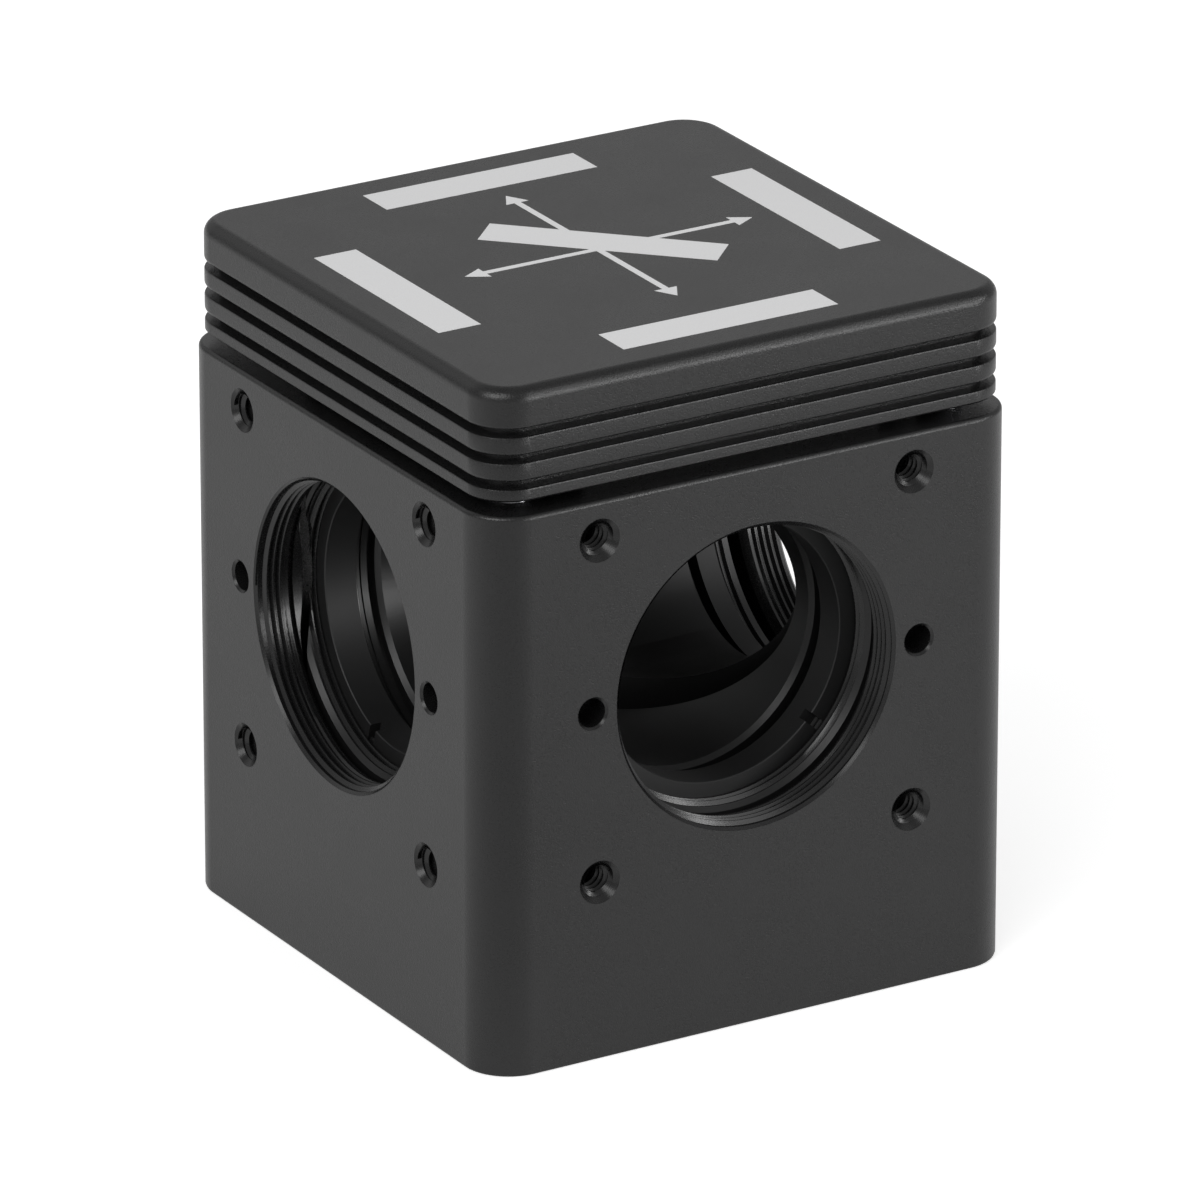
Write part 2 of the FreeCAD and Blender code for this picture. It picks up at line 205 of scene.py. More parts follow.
class CageStage(bpy.types.PropertyGroup):
    """Floor, lamps and camera."""

    floor: colour("Floor", (0.82, 0.82, 0.82), "Colour of the floor")
    sky: amount("Sky", 0.36, "Brightness of the even light all round", 5.0)
    floor_glow: amount("Floor glow", 0.60, "Brightness added to the floor for the camera", 2.0)
    floor_sheen: amount("Floor sheen", 0.26, "Brightness added to the floor in reflections", 2.0)
    left: amount("Left lamp", 3.4, "Brightness of the lamp at the left", 50.0)
    left_high: amount("High left lamp", 2.8, "Brightness of the higher lamp at the left", 50.0)
    right: amount("Right lamp", 8.0, "Brightness of the low lamp at the right", 50.0)
    right_fill: amount("Right fill", 1.3, "Brightness of the wide lamp above the right one", 50.0)
    right_side: amount("Far right lamp", 10.0, "Brightness of the lamp that reaches into the port", 50.0)
    back_left: amount("Back left lamp", 0.22, "Brightness of the lamp behind the left side", 50.0)
    back_right: amount("Back right lamp", 0.20, "Brightness of the lamp behind the right side", 50.0)
    turn: bpy.props.FloatProperty(name="Camera turn", description="Angle round the cube", subtype="ANGLE",
                                  default=math.radians(-30.888))
    tilt: bpy.props.FloatProperty(name="Camera tilt", description="Angle above the floor", subtype="ANGLE",
                                  default=math.radians(21.842))
    lens: bpy.props.FloatProperty(name="Lens", description="Focal length in millimetres",
                                  default=12743.28 / 1200 * 36)


# Working with the mesh as by hand

def select_only(*objects):
    """Leaves just these objects selected, the first one active."""
    if bpy.context.mode != "OBJECT":
        bpy.ops.object.mode_set(mode="OBJECT")
    bpy.ops.object.select_all(action="DESELECT")
    for obj in objects:
        obj.select_set(True)
    bpy.context.view_layer.objects.active = objects[0]


def name_new(name):
    """Names the primitive that was just added, and its mesh."""
    obj = bpy.context.object
    obj.name = name
    obj.data.name = name
    return obj


def edit(obj):
    select_only(obj)
    bpy.ops.object.mode_set(mode="EDIT")
    bpy.ops.mesh.select_all(action="DESELECT")


def leave():
    bpy.ops.object.mode_set(mode="OBJECT")


def pick(obj, kind, wanted):
    """Selects the edges or faces of the mesh in edit mode that a test accepts, and counts them."""
    bpy.ops.mesh.select_all(action="DESELECT")
    bpy.ops.mesh.select_mode(type="EDGE" if kind == "edges" else "FACE")
    mesh = bmesh.from_edit_mesh(obj.data)
    count = 0
    for element in getattr(mesh, kind):
        if wanted(element):
            element.select_set(True)
            count += 1
    mesh.select_flush_mode()
    bmesh.update_edit_mesh(obj.data)
    if not count:
        raise RuntimeError("nothing to select on " + obj.name)
    return count


def bevel(obj, wanted, width, segments):
    """Rounds or chamfers the chosen edges of the mesh in edit mode."""
    pick(obj, "edges", wanted)
    bpy.ops.mesh.bevel(offset=width, segments=segments, affect="EDGES", profile=0.5)


def upright(edge):
    low, high = (vert.co for vert in edge.verts)
    return abs(low.x - high.x) < 1e-6 and abs(low.y - high.y) < 1e-6 and abs(low.z - high.z) > 1e-4


def at_corner(signs):
    """A test for the upright edge nearest one corner."""
    return lambda edge: upright(edge) and all(s * c > 0 for s, c in zip(signs, edge.verts[0].co.xy))


def inset(point, half, radius):
    """How far inside a rounded square's outline a point lies."""
    x = abs(point.x) - (half - radius)
    y = abs(point.y) - (half - radius)
    out = math.hypot(x, y) if x > 0 and y > 0 else max(x, y)
    return radius - out


def on_outline(height, half, radius):
    """A test for the outline's edges at one height."""
    def wanted(edge):
        return all(abs(v.co.z - height) < 1e-6 and abs(inset(v.co, half, radius)) < 5e-5 for v in edge.verts)
    return wanted


def box_solid(name, low, high):
    size = high - low
    bpy.ops.mesh.primitive_cube_add(size=1, location=(low + high) / 2, scale=size)
    obj = name_new(name)
    bpy.ops.object.transform_apply(location=True, rotation=True, scale=True)
    return obj


def turned_solid(name, start, direction, stations, steps):
    """A solid turned about an axis: stations are (distance along the axis, radius) in order."""
    turn = direction.to_track_quat("Z", "Y").to_euler()
    first, radius = stations[0]
    bpy.ops.mesh.primitive_circle_add(vertices=steps, radius=radius, fill_type="NGON",
                                      location=start + direction * first, rotation=turn)
    obj = name_new(name)
    bpy.ops.object.transform_apply(location=True, rotation=True, scale=True)
    bpy.ops.object.mode_set(mode="EDIT")
    bpy.ops.mesh.select_all(action="SELECT")
    place = first
    for distance, wider in stations[1:]:
        bpy.ops.mesh.extrude_region_move(TRANSFORM_OT_translate={"value": direction * (distance - place)})
        ratio = wider / radius
        if abs(ratio - 1) > 1e-6:
            middle = start + direction * distance
            bpy.ops.transform.resize(value=(ratio, ratio, ratio), center_override=middle)
        place, radius = distance, wider
    bpy.ops.mesh.select_all(action="SELECT")
    bpy.ops.mesh.normals_make_consistent(inside=False)
    leave()
    return obj


def turn_about_axis(obj, degrees):
    """Turns a finished mesh about the upright axis, from the front side to another."""
    obj.data.transform(Matrix.Rotation(math.radians(degrees), 4, "Z"))
    return obj


def copy_of(obj, name):
    """A copy with its own mesh."""
    copy = obj.copy()
    copy.data = obj.data.copy()
    copy.name = name
    copy.data.name = name
    bpy.context.collection.objects.link(copy)
    return copy


def join(name, *objects):
    select_only(*objects)
    if len(objects) > 1:
        bpy.ops.object.join()
    return name_new(name)


def combine(obj, tool, operation="DIFFERENCE"):
    """Cuts a tool out of a solid, or keeps what they share, and removes the tool."""
    select_only(obj)
    bpy.ops.object.modifier_add(type="BOOLEAN")
    modifier = obj.modifiers[-1]
    modifier.operation = operation
    modifier.solver = "EXACT"
    modifier.object = tool
    bpy.ops.object.modifier_apply(modifier=modifier.name)
    bpy.data.objects.remove(tool)


def face_outwards(obj):
    """Turns every face of the closed mesh in edit mode outwards."""
    bpy.ops.mesh.select_all(action="SELECT")
    bpy.ops.mesh.normals_make_consistent(inside=False)
    if bmesh.from_edit_mesh(obj.data).calc_volume(signed=True) < 0:
        bpy.ops.mesh.flip_normals()


def finish_mesh(obj, degrees=32):
    """Merges doubles, smooths the rounded edges and keeps the flat faces flat."""
    edit(obj)
    bpy.ops.mesh.select_all(action="SELECT")
    bpy.ops.mesh.remove_doubles(threshold=1e-6)
    face_outwards(obj)
    leave()
    bpy.ops.object.shade_smooth_by_angle(angle=math.radians(degrees))
    bpy.ops.object.modifier_add(type="WEIGHTED_NORMAL")
    modifier = obj.modifiers[-1]
    modifier.keep_sharp = True
    modifier.weight = 100
    bpy.ops.object.modifier_apply(modifier=modifier.name)


def dress(obj, body, material, slot=None, *nodes):
    """Gives a new piece its finish and its body, and hides the CAD nodes that it stands for."""
    obj.data.materials.clear()
    obj.data.materials.append(material)
    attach(obj, body)
    if nodes:
        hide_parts(*nodes)


# Finishes

class Wire:
    """A shader socket that can be used in arithmetic."""

    def __init__(self, recipe, socket):
        self.recipe = recipe
        self.socket = socket

    def __add__(self, other):
        return self.recipe.maths("ADD", self, other)

    def __radd__(self, other):
        return self.recipe.maths("ADD", other, self)

    def __sub__(self, other):
        return self.recipe.maths("SUBTRACT", self, other)

    def __rsub__(self, other):
        return self.recipe.maths("SUBTRACT", other, self)

    def __mul__(self, other):
        return self.recipe.maths("MULTIPLY", self, other)

    def __rmul__(self, other):
        return self.recipe.maths("MULTIPLY", other, self)

    def __truediv__(self, other):
        return self.recipe.maths("DIVIDE", self, other)


class Recipe:
    """A material under construction."""

    def __init__(self, name):
        self.material = bpy.data.materials.new(name)
        self.material.use_nodes = True
        self.tree = self.material.node_tree
        self.tree.nodes.clear()
        self.output = self.tree.nodes.new("ShaderNodeOutputMaterial")

    def node(self, kind, settings=None, **sockets):
        """Adds a node: its settings come first, then values or links for its sockets by name."""
        made = self.tree.nodes.new("ShaderNode" + kind)
        for key, value in (settings or {}).items():
            setattr(made, key, value)
        for key, value in sockets.items():
            self.feed(made.inputs[key.replace("_", " ")], value)
        return made

    def feed(self, socket, value):
        if isinstance(value, Wire):
            self.tree.links.new(value.socket, socket)
        elif isinstance(value, bpy.types.NodeSocket):
            self.tree.links.new(value, socket)
        else:
            socket.default_value = value

    def wire(self, node, output=0):
        return Wire(self, node.outputs[output])

    def maths(self, operation, first, second=0.0, clamp=False):
        made = self.tree.nodes.new("ShaderNodeMath")
        made.operation = operation
        made.use_clamp = clamp
        self.feed(made.inputs[0], first)
        self.feed(made.inputs[1], second)
        return self.wire(made)

    def place(self):
        """The position on the piece."""
        return self.wire(self.node("TexCoord"), "Object")

    def axes(self, place):
        """The three coordinates of a position."""
        split = self.node("SeparateXYZ", None, Vector=place)
        return [self.wire(split, axis) for axis in "XYZ"]

    def within(self, place, half, radius, low, high):
        """1 on a surface that lies inside a rounded square block, and 0 on its outer faces and edges."""
        x, y, z = self.axes(place)
        past_x = self.maths("MAXIMUM", self.maths("ABSOLUTE", x) - (half - radius))
        past_y = self.maths("MAXIMUM", self.maths("ABSOLUTE", y) - (half - radius))
        out = self.maths("SQRT", past_x * past_x + past_y * past_y)
        skin = 0.02 * MM
        inner = self.maths("LESS_THAN", out, radius - skin)
        return inner * self.maths("GREATER_THAN", z, low) * self.maths("LESS_THAN", z, high)

    def noise(self, place, size, detail=2.0):
        """Noise about 0.5, with features of a given size."""
        settings = {"noise_dimensions": "3D"}
        made = self.node("TexNoise", settings, Vector=place, Scale=1.0 / size, Detail=detail)
        return self.wire(made, "Fac")

    def blend(self, share, first, second):
        """A colour between two colours."""
        made = self.node("Mix", {"data_type": "RGBA"})
        self.feed(made.inputs["Factor"], share)
        self.feed(made.inputs[6], first)
        self.feed(made.inputs[7], second)
        return self.wire(made, 2)

    def bump(self, height, distance, strength=1.0):
        made = self.node("Bump", None, Height=height, Distance=distance, Strength=strength)
        return self.wire(made, "Normal")

    def finish(self, base, roughness, normal=None, metallic=0.0, specular=0.5):
        shader = self.node("BsdfPrincipled")
        self.feed(shader.inputs["Base Color"], base)
        self.feed(shader.inputs["Roughness"], roughness)
        shader.inputs["Metallic"].default_value = metallic
        shader.inputs["Specular IOR Level"].default_value = specular
        if normal is not None:
            self.feed(shader.inputs["Normal"], normal)
        self.tree.links.new(shader.outputs[0], self.output.inputs["Surface"])
        return self.material


def shade(base, factor):
    return tuple(min(1.0, channel * factor) for channel in base) + (1.0,)


def anodised_faces(name, base, roughness, grain, contrast):
    """Fine matte anodising over a bead-blasted face."""
    recipe = Recipe(name)
    base_wire, rough, height = blasted(recipe, base, roughness, grain, contrast)
    return recipe.finish(base_wire, rough, recipe.bump(height, grain * 0.22, 1.0))


def blasted(recipe, base, roughness, grain, contrast):
    """The colour, roughness and height of a bead-blasted face."""
    place = recipe.place()
    fine = recipe.noise(place, grain, 2.0)
    mottle = recipe.noise(place, grain * 50, 2.0)
    share = recipe.maths("ADD", (fine - 0.5) * 3.2 + (mottle - 0.5) * 0.5, 0.5, True)
    base_wire = recipe.blend(share, shade(base, 1 - contrast), shade(base, 1 + contrast))
    rough = roughness + (mottle - 0.5) * 0.08 + (fine - 0.5) * 0.20
    return base_wire, rough, fine


def housing_faces(name, look, sizes):
    """The housing's finish: matte outside, darker and glossier on every bored or milled wall."""
    recipe = Recipe(name)
    outer, outer_rough, height = blasted(recipe, look.anodised, look.matte, look.grain, look.contrast)
    inner, inner_rough, marks = bored(recipe, look.bored, look.satin, look.grain, 0.12 * MM)
    mask = recipe.within(recipe.place(), HALF, sizes.corner_r, sizes.foot_break, BASE_HIGH.z - sizes.rim_r)
    base_wire = recipe.blend(mask, outer, inner)
    rough = outer_rough + (inner_rough - outer_rough) * mask
    relief = height * look.grain * 0.22
    relief = relief + (marks * 0.12 * MM * 0.015 - relief) * mask
    return recipe.finish(base_wire, rough, recipe.bump(relief, 1.0, 1.0))


def bored(recipe, base, roughness, grain, feed):
    """The colour, roughness and height of a bored wall, with the circular marks of the tool."""
    place = recipe.place()
    fine = recipe.noise(place, grain * 0.7, 2.0)
    x, y, z = recipe.axes(place)
    across = recipe.maths("SINE", x * (math.tau / feed))
    along = recipe.maths("SINE", y * (math.tau / feed))
    marks = (across + along) * 0.25 + fine
    base_wire = recipe.blend(fine, shade(base, 0.7), shade(base, 1.3))
    return base_wire, roughness + (fine - 0.5) * 0.16, marks


def bored_walls(name, base, roughness, grain, feed):
    """Anodising over the circular marks of a boring tool."""
    recipe = Recipe(name)
    base_wire, rough, marks = bored(recipe, base, roughness, grain, feed)
    return recipe.finish(base_wire, rough, recipe.bump(marks, feed * 0.03, 0.5))


def metal(name, base, roughness, grain, streak=1.0):
    """Plated or ground metal with fine lines."""
    recipe = Recipe(name)
    place = recipe.place()
    lines = recipe.node("Mapping", None, Vector=place, Scale=(1.0, 1.0, streak))
    fine = recipe.noise(recipe.wire(lines), grain, 2.0)
    base_wire = recipe.blend(fine, shade(base, 0.88), shade(base, 1.08))
    rough = roughness + (fine - 0.5) * 0.14
    return recipe.finish(base_wire, rough, recipe.bump(fine, grain * 0.05, 0.3), metallic=1.0)


def marking_paint(name, base, grain):
    """The pale marking, with the anodising's grain under it."""
    recipe = Recipe(name)
    place = recipe.place()
    fine = recipe.noise(place, grain, 3.0)
    base_wire = recipe.blend(fine, shade(base, 0.90), shade(base, 1.08))
    return recipe.finish(base_wire, 0.62 + (fine - 0.5) * 0.1, recipe.bump(fine, grain * 0.08, 0.3))


def painted_reflection_dimming(recipe, place):
    """Painted shade in reflections: 1 on most of the floor and less on the side toward the camera, so the
    floor's glow seen in reflections is dimmed there and the cube's corner that faces the camera reflects less
    light.
    """
    stage = bpy.context.scene.cage_stage
    camera_side = FRONT * math.cos(stage.turn) + Vector((math.sin(stage.turn), 0, 0))
    facing = recipe.node("VectorMath", {"operation": "DOT_PRODUCT"})
    recipe.feed(facing.inputs[0], place)
    facing.inputs[1].default_value = camera_side
    reach = recipe.wire(recipe.node("VectorMath", {"operation": "LENGTH"}, Vector=place), "Value")
    toward_camera = recipe.wire(facing, "Value") / recipe.maths("MAXIMUM", reach, 80 * MM)
    return recipe.maths("MAXIMUM", 0.0, recipe.maths("MINIMUM", 1.0, (0.98 - toward_camera) * 1.9))


def floor_paint(name, base, glow, sheen):
    """A pale floor that looks white to the camera and in reflections, and keeps the shadow."""
    recipe = Recipe(name)
    recipe.node("BsdfDiffuse")
    diffuse = recipe.tree.nodes[-1]
    diffuse.inputs["Color"].default_value = tuple(base) + (1.0,)
    light = recipe.node("Emission", None, Color=(1.0, 1.0, 1.0, 1.0))
    rays = recipe.node("LightPath")
    seen = recipe.wire(rays, "Is Camera Ray") * glow
    # Painted reflection: the floor glows only for glossy rays, and less on the camera's side.
    seen = seen + recipe.wire(rays, "Is Glossy Ray") * sheen * painted_reflection_dimming(recipe, recipe.place())
    recipe.feed(light.inputs["Strength"], seen)
    both = recipe.node("AddShader")
    recipe.tree.links.new(diffuse.outputs[0], both.inputs[0])
    recipe.tree.links.new(light.outputs[0], both.inputs[1])
    recipe.tree.links.new(both.outputs[0], recipe.output.inputs["Surface"])
    return recipe.material


def finish_named(name):
    """The material of that name, made on first use."""
    if name in bpy.data.materials:
        return bpy.data.materials[name]
    look = bpy.context.scene.cage_finish
    makers = {
        "Black anodising": lambda: anodised_faces(name, look.anodised, look.matte, look.grain, look.contrast),
        "Housing anodising": lambda: housing_faces(name, look, bpy.context.scene.cage_housing),
        "Bored anodising": lambda: bored_walls(name, look.bored, look.satin, look.grain, 0.12 * MM),
        "Block anodising": lambda: bored_walls(name, look.bored, look.dull, look.grain, 0.12 * MM),
        "Turned anodising": lambda: bored_walls(name, look.bored, look.dull * 1.4, look.grain, 0.09 * MM),
        "Light marking": lambda: marking_paint(name, look.marking, look.grain),
        "Polished steel": lambda: metal(name, look.steel, 0.22, 0.4 * MM),
        "Nickel plate": lambda: metal(name, look.nickel, 0.24, 0.2 * MM),
        "Ground steel": lambda: metal(name, look.steel, 0.32, 0.08 * MM, 0.1),
        "Black oxide": lambda: anodised_faces(name, look.oxide, 0.38, look.grain, look.contrast),
    }
    return makers[name]()


# Shared forms

def post_cutter(name, low, high, legs, edge_r):
    """A square prism whose corners are cut at 45 degrees by given legs, with rounded upright edges."""
    obj = box_solid(name, low, high)
    edit(obj)
    for signs, leg in legs.items():
        bevel(obj, at_corner(signs), leg, 1)
    bevel(obj, upright, edge_r * math.tan(math.pi / 8), 3)
    leave()
    return obj


def corner_signs():
    return list(CORNERS.values()) + [KEY_CORNER]


def pocket_half():
    return HALF - bpy.context.scene.cage_housing.wall


def flat_distance(signs):
    """Distance from the middle to the pocket's 45 degree flat at a corner."""
    sizes = bpy.context.scene.cage_housing
    reach = sizes.key_reach if signs == KEY_CORNER else sizes.post_reach
    return pocket_half() * math.sqrt(2) - reach


def screw_centres():
    """Where the cover screws stand, in the corners outside the bores."""
    block = bpy.context.scene.cage_block
    edge = PORT_R + block.relief_step
    reach = (flat_distance((1, 1)) - block.post_gap) * math.sqrt(2) - 2 * edge
    offset = edge + reach * (1 - 1 / math.sqrt(2))
    return [Vector((x * offset, y * offset, 0)) for x, y in CORNERS.values()]


def thread_ridge(name, centre, inward, radius, start, end, chamfer, steps, pitch=None):
    """A helical ridge on a bore's wall, cut back by the chamfer at its mouth and faded out at its end."""
    sizes = bpy.context.scene.cage_thread
    scale = (pitch or sizes.pitch) / sizes.pitch
    pitch = sizes.pitch * scale
    root, crest, depth = sizes.root * scale, sizes.crest * scale, sizes.depth * scale
    sunk = 0.02 * MM
    turns = (end - start - root) / pitch
    bpy.ops.mesh.primitive_plane_add(size=1, location=(radius + sunk - (depth + sunk) / 2, 0, root / 2),
                                     rotation=(math.pi / 2, 0, 0))
    obj = name_new(name)
    obj.scale = (depth + sunk, root, 1)
    bpy.ops.object.transform_apply(location=True, rotation=True, scale=True)
    edit(obj)
    pick(obj, "edges", lambda edge: all(v.co.x < radius - depth / 2 for v in edge.verts))
    bpy.ops.transform.resize(value=(1, 1, crest / root))
    leave()
    bpy.ops.object.modifier_add(type="SCREW")
    screw = obj.modifiers[-1]
    screw.angle = math.tau * turns
    screw.screw_offset = pitch * turns
    last = max(8, round(steps * turns))
    screw.steps = screw.render_steps = last
    screw.use_merge_vertices = False
    bpy.ops.object.modifier_apply(modifier=screw.name)
    edit(obj)
    bpy.ops.mesh.select_all(action="SELECT")
    bpy.ops.mesh.fill_holes(sides=4)
    bpy.ops.mesh.select_all(action="SELECT")
    bpy.ops.mesh.normals_make_consistent(inside=False)
    leave()
    top = end - start
    for vert in obj.data.vertices:
        reach = math.hypot(vert.co.x, vert.co.y)
        step = vert.index // 4
        swell = min(1, step / (steps / 2), (last - step) / (steps / 2))
        ramp = radius + sunk - (depth + sunk) * swell
        mouth = radius + chamfer - start - vert.co.z
        runout = radius - (top - vert.co.z) * 1.2
        wanted = min(max(reach, ramp, mouth, runout), radius + sunk)
        vert.co.x *= wanted / reach
        vert.co.y *= wanted / reach
    turn = inward.to_track_quat("Z", "Y").to_matrix().to_4x4()
    obj.data.transform(Matrix.Translation(centre + inward * start) @ turn)
    finish_mesh(obj, 25)
    return obj


# Operators, one for each piece or group of like pieces

class CAGE_OT_housing(bpy.types.Operator):
    """Model the base housing: pocket, corner posts, four ports and the small holes round them"""

    bl_idname = "cage.housing"
    bl_label = "Base housing"

    def execute(self, context):
        sizes = context.scene.cage_housing
        low, high = BASE_LOW.copy(), BASE_HIGH.copy()
        body = box_solid("housing", low, high)
        edit(body)
        bevel(body, upright, sizes.corner_r, 20)
        bevel(body, on_outline(high.z, HALF, sizes.corner_r), sizes.rim_r, 5)
        bevel(body, on_outline(low.z, HALF, sizes.corner_r), sizes.foot_break, 2)
        leave()
        half = pocket_half()
        legs = {s: (half * math.sqrt(2) - flat_distance(s)) * math.sqrt(2) for s in corner_signs()}
        pocket = post_cutter("pocket", Vector((-half, -half, sizes.floor)), Vector((half, half, high.z + MM)),
                             legs, sizes.pocket_r)
        combine(body, pocket)
        edit(body)
        inner = half + 0.5 * MM
        bevel(body, lambda e: all(abs(v.co.z - high.z) < 1e-6 and max(abs(v.co.x), abs(v.co.y)) < inner
                                  for v in e.verts), sizes.mouth_break, 1)
        leave()
        for degrees in SIDES.values():
            combine(body, turn_about_axis(self.side_tool(sizes), degrees))
        combine(body, self.upright_tool(sizes))
        finish_mesh(body)
        dress(body, "base", finish_named("Housing anodising"), "anodised_base", "base_housing")
        return {"FINISHED"}

    def side_tool(self, sizes):
        """All the holes of the front side."""
        face = AXIS + FRONT * HALF
        back = -FRONT
        out = 0.5 * MM
        chamfer = sizes.port_chamfer
        flare = sizes.port_back_chamfer
        cleared = PORT_R + bpy.context.scene.cage_block.relief_step
        stations = [(-out, PORT_R + chamfer + out), (chamfer, PORT_R), (sizes.wall - flare, PORT_R),
                    (sizes.wall, PORT_R + flare), (sizes.wall, cleared), (2 * sizes.wall, cleared)]
        tools = [turned_solid("port", face, back, stations, 160)]
        for x in (-CAGE_REACH, CAGE_REACH):
            for z in (-CAGE_REACH, CAGE_REACH):
                chamfer = sizes.cage_chamfer
                tools.append(turned_solid("cage", face + Vector((x, 0, z)), back,
                                          [(-out, CAGE_R + chamfer + out), (chamfer, CAGE_R),
                                           (sizes.wall + 0.3 * MM, CAGE_R)], 40))
        for x in (-PIN_REACH, PIN_REACH):
            chamfer = sizes.pin_chamfer
            tools.append(turned_solid("pin", face + Vector((x, 0, 0)), back,
                                      [(-out, PIN_R + chamfer + out), (chamfer, PIN_R),
                                       (sizes.pin_depth, PIN_R)], 40))
        return join("side_tool", *tools)

    def upright_tool(self, sizes):
        """The ball bores in the rim and the tapped hole in the underside."""
        tools = []
        for name in CORNERS:
            low, high = (Vector(corner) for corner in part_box("magnet_" + name))
            centre = (low + high) / 2
            foot = Vector((centre.x, centre.y, low.z))
            radius = (high.x - low.x) / 2 + sizes.ball_gap
            stations = [(0, radius), (BASE_HIGH.z - low.z + MM, radius)]
            tools.append(turned_solid("ball_bore", foot, UP, stations, 48))
        out = 0.5 * MM
        chamfer = sizes.post_chamfer
        stations = [(-out, POST_R + chamfer + out), (chamfer, POST_R), (sizes.post_depth, POST_R)]
        tools.append(turned_solid("post_bore", Vector((0, 0, BASE_LOW.z)), UP, stations, 64))
        return join("upright_tool", *tools)


class CAGE_OT_cover(bpy.types.Operator):
    """Model the cover: a rounded slab with fins left between grooves cut all round"""

    bl_idname = "cage.cover"
    bl_label = "Grooved cover"

    def execute(self, context):
        sizes = context.scene.cage_cover
        low, high = COVER_LOW.copy(), COVER_HIGH.copy()
        half = high.x
        cover = box_solid("cover", low, high)
        edit(cover)
        bevel(cover, upright, sizes.corner_r, 18)
        tops = [high.z - sizes.slab - i * sizes.pitch for i in range(sizes.count)]
        bottoms = [top - sizes.groove for top in tops]
        for height in tops + bottoms:
            bpy.ops.mesh.select_all(action="SELECT")
            bpy.ops.mesh.bisect(plane_co=(0, 0, height), plane_no=(0, 0, 1))
        for top, bottom in zip(tops, bottoms):
            middle = (top + bottom) / 2
            pick(cover, "faces", lambda f: abs(f.calc_center_median().z - middle) < 1e-5)
            bpy.ops.mesh.extrude_region_shrink_fatten(
                TRANSFORM_OT_shrink_fatten={"value": -sizes.groove_depth, "use_even_offset": True})
        for height in tops:
            bevel(cover, on_outline(height, half, sizes.corner_r), sizes.fin_lower_r, 5)
        for height in bottoms:
            bevel(cover, on_outline(height, half, sizes.corner_r), sizes.fin_upper_break, 2)
        bevel(cover, on_outline(high.z, half, sizes.corner_r), sizes.top_r, 10)
        bevel(cover, on_outline(low.z, half, sizes.corner_r), sizes.foot_break, 1)
        leave()
        combine(cover, self.underside_tool(context))
        finish_mesh(cover)
        dress(cover, "insert", finish_named("Black anodising"), "anodised_cover", "insert_cover")
        return {"FINISHED"}

    def underside_tool(self, context):
        """The bores for the vee seats and the tapped holes for the screws."""
        tools = []
        for name in CORNERS:
            low, high = (Vector(corner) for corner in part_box("vee_seat_" + name))
            centre = (low + high) / 2
            radius = (high.x - low.x) / 2 + 0.01 * MM
            tools.append(turned_solid("seat_bore", Vector((centre.x, centre.y, low.z)), UP,
                                      [(-MM, radius), (high.z - low.z, radius)], 40))
        screw_r = context.scene.cage_block.through_r - 0.09 * MM
        depth = context.scene.cage_cover.screw_depth
        for centre in screw_centres():
            foot = centre + UP * COVER_LOW.z
            tools.append(turned_solid("screw_bore", foot, UP, [(-MM, screw_r), (depth, screw_r)], 32))
        return join("underside_tool", *tools)


